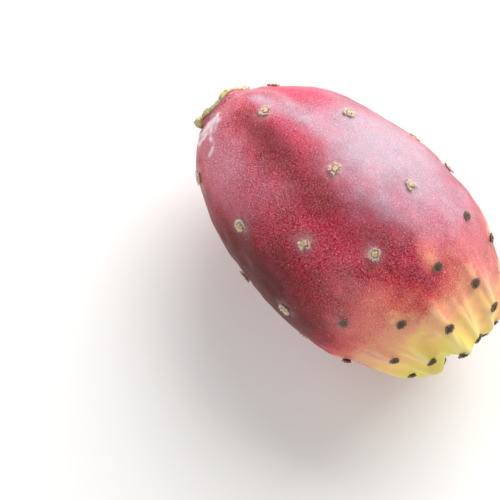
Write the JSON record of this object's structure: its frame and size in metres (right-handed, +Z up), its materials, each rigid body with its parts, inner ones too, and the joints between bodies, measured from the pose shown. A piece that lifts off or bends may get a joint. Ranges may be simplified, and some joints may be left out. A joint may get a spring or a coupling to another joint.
{
  "type": "prickly pear fruit",
  "caption": "Whole prickly pear fruit lying on its side: an egg-shaped fleshy body with humps and bristly areoles, a dried stem scar at one end and a sunken cup at the crown.",
  "frame": {"origin": "middle of the fruit's bounding box at the level of the surface that it lies on", "axes": "+Z is up; +X runs along the fruit from the stem scar to the crown; +Y is across"},
  "size_m": [0.0862, 0.0538, 0.0527],
  "materials": {
    "skin": "satin",
    "areole_felt": "matte",
    "bristle": "satin",
    "stem_scar": "matte"
  },
  "bodies": {
    "root": {"fruit": "skin"}
  },
  "joints": []
}
